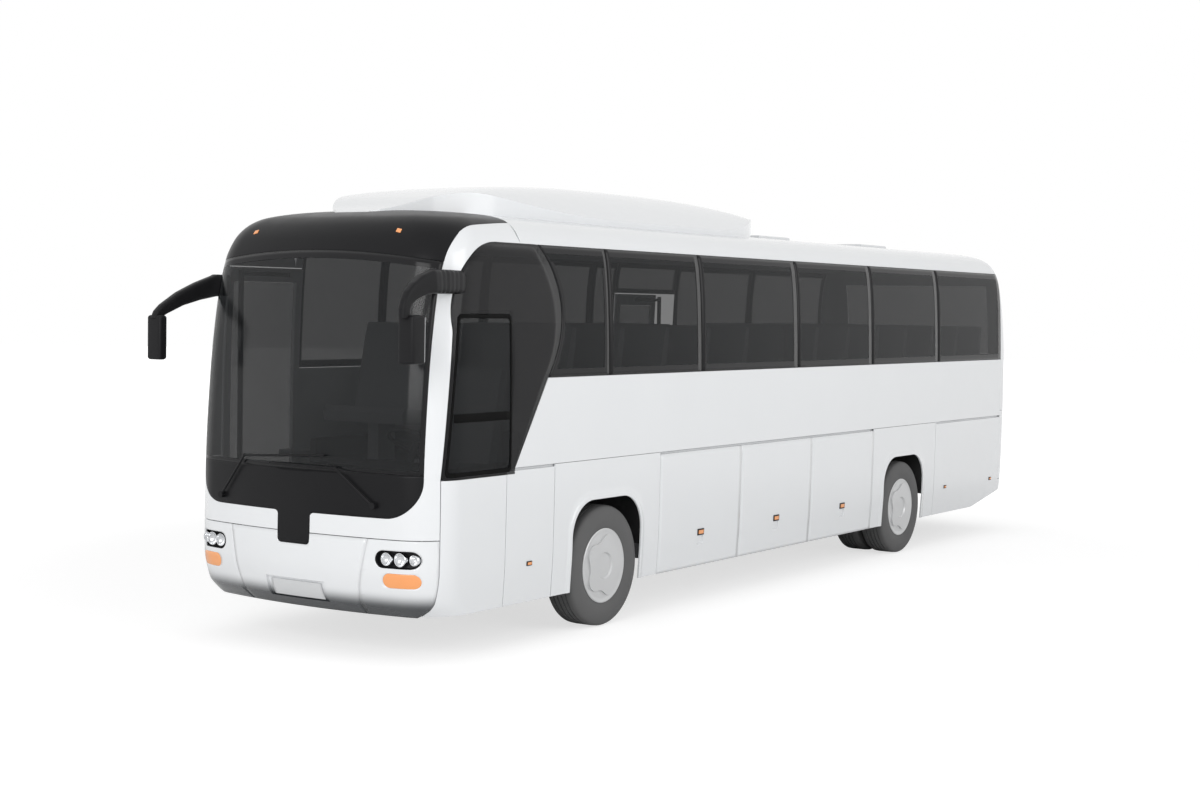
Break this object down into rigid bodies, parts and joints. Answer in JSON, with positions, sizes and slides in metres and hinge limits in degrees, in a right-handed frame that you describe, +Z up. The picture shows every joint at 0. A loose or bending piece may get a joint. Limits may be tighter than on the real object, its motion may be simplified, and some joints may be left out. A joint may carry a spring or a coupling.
{
  "type": "coach bus",
  "caption": "Intercity coach with a hollow saloon, steered front wheels, twin rear wheels, swing-out doors, lift-up luggage flaps and a rear engine lid.",
  "frame": {"origin": "on the ground, midway between the tail and the tips of the mirrors, on the middle of the width", "axes": "+X forward along the coach, +Y to its left, +Z up"},
  "size_m": [12.085, 2.72, 3.81],
  "materials": {
    "white_paint": "gloss",
    "black_gloss": "gloss",
    "tinted_glass": "gloss",
    "black_metal": "satin",
    "grey_plastic": "matt",
    "floor_covering": "matt",
    "seat_fabric": "woven",
    "tyre": "matt",
    "rim_silver": "satin",
    "cast_metal": "matt",
    "rubber": "matt",
    "lamp_clear": "gloss",
    "lamp_red": "gloss",
    "lamp_orange": "gloss",
    "mirror_black": "gloss"
  },
  "bodies": {
    "coach": {"air_conditioner": "white_paint", "air_springs": "rubber", "dashboard": "grey_plastic", "driver_seat": "seat_fabric", "driver_surround": "black_gloss", "engine": "cast_metal", "floor": "floor_covering", "frames": "black_metal", "front_axle": "cast_metal", "front_bumper": "white_paint", "front_dome": "black_gloss", "front_mask": "black_gloss", "front_panel": "white_paint", "headlamps": "lamp_clear", "luggage_hold": "grey_plastic", "mirrors": "mirror_black", "pillar_bands": "white_paint", "rear_axle": "cast_metal", "rear_bumper": "white_paint", "rear_wall": "white_paint", "roof": "white_paint", "roof_hatches": "white_paint", "seats": "seat_fabric", "side_walls": "white_paint", "skirt_panels": "white_paint", "steering_wheel": "black_metal", "steps": "floor_covering", "tail_lamps": "lamp_red", "turn_lamps": "lamp_orange", "wheelhouses": "black_metal", "window_panes": "tinted_glass", "windscreen": "tinted_glass", "wipers": "black_metal"},
    "knuckle_left": {"knuckle_left": "cast_metal"},
    "knuckle_right": {"knuckle_right": "cast_metal"},
    "tie_rod": {"tie_rod": "black_metal"},
    "front_wheel_left": {"front_tyre_left": "tyre", "front_rim_left": "rim_silver"},
    "front_wheel_right": {"front_tyre_right": "tyre", "front_rim_right": "rim_silver"},
    "rear_wheels_left": {"rear_tyres_left": "tyre", "rear_rims_left": "rim_silver"},
    "rear_wheels_right": {"rear_tyres_right": "tyre", "rear_rims_right": "rim_silver"},
    "front_door_arm": {"front_door_arm": "black_metal"},
    "front_door": {"front_door": "white_paint", "front_door_glass": "tinted_glass"},
    "middle_door_arm": {"middle_door_arm": "black_metal"},
    "middle_door": {"middle_door": "white_paint", "middle_door_glass": "tinted_glass"},
    "engine_lid": {"engine_lid": "white_paint"},
    "service_flap_left": {"service_flap_left": "white_paint"},
    "luggage_flap_left_1": {"luggage_flap_left_1": "white_paint"},
    "luggage_flap_left_2": {"luggage_flap_left_2": "white_paint"},
    "luggage_flap_left_3": {"luggage_flap_left_3": "white_paint"},
    "luggage_flap_right_1": {"luggage_flap_right_1": "white_paint"},
    "luggage_flap_right_2": {"luggage_flap_right_2": "white_paint"},
    "engine_flap_left": {"engine_flap_left": "white_paint"},
    "engine_flap_right": {"engine_flap_right": "white_paint"}
  },
  "joints": [
    {"name": "steer_left", "type": "hinge", "parent": "coach", "child": "knuckle_left", "pos_m": [3.2575, 0.88, 0.515], "axis": [0, 0, 1], "range_deg": [-38, 38]},
    {"name": "steer_right", "type": "hinge", "parent": "coach", "child": "knuckle_right", "pos_m": [3.2575, -0.88, 0.515], "axis": [0, 0, 1], "range_deg": [-38, 38]},
    {"name": "tie_rod_pivot", "type": "hinge", "parent": "knuckle_left", "child": "tie_rod", "pos_m": [3.0375, 0.88, 0.385], "axis": [0, 0, 1], "range_deg": [-38, 38]},
    {"name": "front_wheel_left_spin", "type": "hinge", "parent": "knuckle_left", "child": "front_wheel_left", "pos_m": [3.2575, 0.88, 0.515], "axis": [0, 1, 0], "continuous": true},
    {"name": "front_wheel_right_spin", "type": "hinge", "parent": "knuckle_right", "child": "front_wheel_right", "pos_m": [3.2575, -0.88, 0.515], "axis": [0, 1, 0], "continuous": true},
    {"name": "rear_wheels_left_spin", "type": "hinge", "parent": "coach", "child": "rear_wheels_left", "pos_m": [-2.8025, 1, 0.515], "axis": [0, 1, 0], "continuous": true},
    {"name": "rear_wheels_right_spin", "type": "hinge", "parent": "coach", "child": "rear_wheels_right", "pos_m": [-2.8025, -1, 0.515], "axis": [0, 1, 0], "continuous": true},
    {"name": "front_door_swing", "type": "hinge", "parent": "coach", "child": "front_door_arm", "pos_m": [5.2075, -1.12, 1.5], "axis": [0, 0, 1], "range_deg": [0, 130]},
    {"name": "front_door_turn", "type": "hinge", "parent": "front_door_arm", "child": "front_door", "pos_m": [4.6575, -1.12, 1.5], "axis": [0, 0, 1], "range_deg": [-130, 0]},
    {"name": "middle_door_swing", "type": "hinge", "parent": "coach", "child": "middle_door_arm", "pos_m": [-1.3725, -1.12, 1.5], "axis": [0, 0, -1], "range_deg": [0, 130]},
    {"name": "middle_door_turn", "type": "hinge", "parent": "middle_door_arm", "child": "middle_door", "pos_m": [-0.9025, -1.12, 1.5], "axis": [0, 0, -1], "range_deg": [-130, 0]},
    {"name": "service_flap_left_lift", "type": "hinge", "parent": "coach", "child": "service_flap_left", "pos_m": [4.3805, 1.269, 1.425], "axis": [1, 0, 0], "range_deg": [0, 88]},
    {"name": "luggage_flap_left_1_lift", "type": "hinge", "parent": "coach", "child": "luggage_flap_left_1", "pos_m": [1.6875, 1.269, 1.425], "axis": [1, 0, 0], "range_deg": [0, 88]},
    {"name": "luggage_flap_left_2_lift", "type": "hinge", "parent": "coach", "child": "luggage_flap_left_2", "pos_m": [0.2155, 1.269, 1.425], "axis": [1, 0, 0], "range_deg": [0, 88]},
    {"name": "luggage_flap_left_3_lift", "type": "hinge", "parent": "coach", "child": "luggage_flap_left_3", "pos_m": [-1.2565, 1.269, 1.425], "axis": [1, 0, 0], "range_deg": [0, 88]},
    {"name": "luggage_flap_right_1_lift", "type": "hinge", "parent": "coach", "child": "luggage_flap_right_1", "pos_m": [1.6875, -1.269, 1.425], "axis": [-1, 0, 0], "range_deg": [0, 88]},
    {"name": "luggage_flap_right_2_lift", "type": "hinge", "parent": "coach", "child": "luggage_flap_right_2", "pos_m": [0.2155, -1.269, 1.425], "axis": [-1, 0, 0], "range_deg": [0, 88]},
    {"name": "engine_flap_left_lift", "type": "hinge", "parent": "coach", "child": "engine_flap_left", "pos_m": [-4.6725, 1.269, 1.425], "axis": [1, 0, 0], "range_deg": [0, 88]},
    {"name": "engine_flap_right_lift", "type": "hinge", "parent": "coach", "child": "engine_flap_right", "pos_m": [-4.6725, -1.269, 1.425], "axis": [-1, 0, 0], "range_deg": [0, 88]},
    {"name": "engine_lid_lift", "type": "hinge", "parent": "coach", "child": "engine_lid", "pos_m": [-6.0314, 0, 1.488], "axis": [0, 1, 0], "range_deg": [0, 85]}
  ],
  "couplings": [
    {"joint": "steer_right", "follows": "steer_left", "ratio": 1},
    {"joint": "tie_rod_pivot", "follows": "steer_left", "ratio": -1},
    {"joint": "front_door_turn", "follows": "front_door_swing", "ratio": -1},
    {"joint": "middle_door_turn", "follows": "middle_door_swing", "ratio": -1}
  ]
}
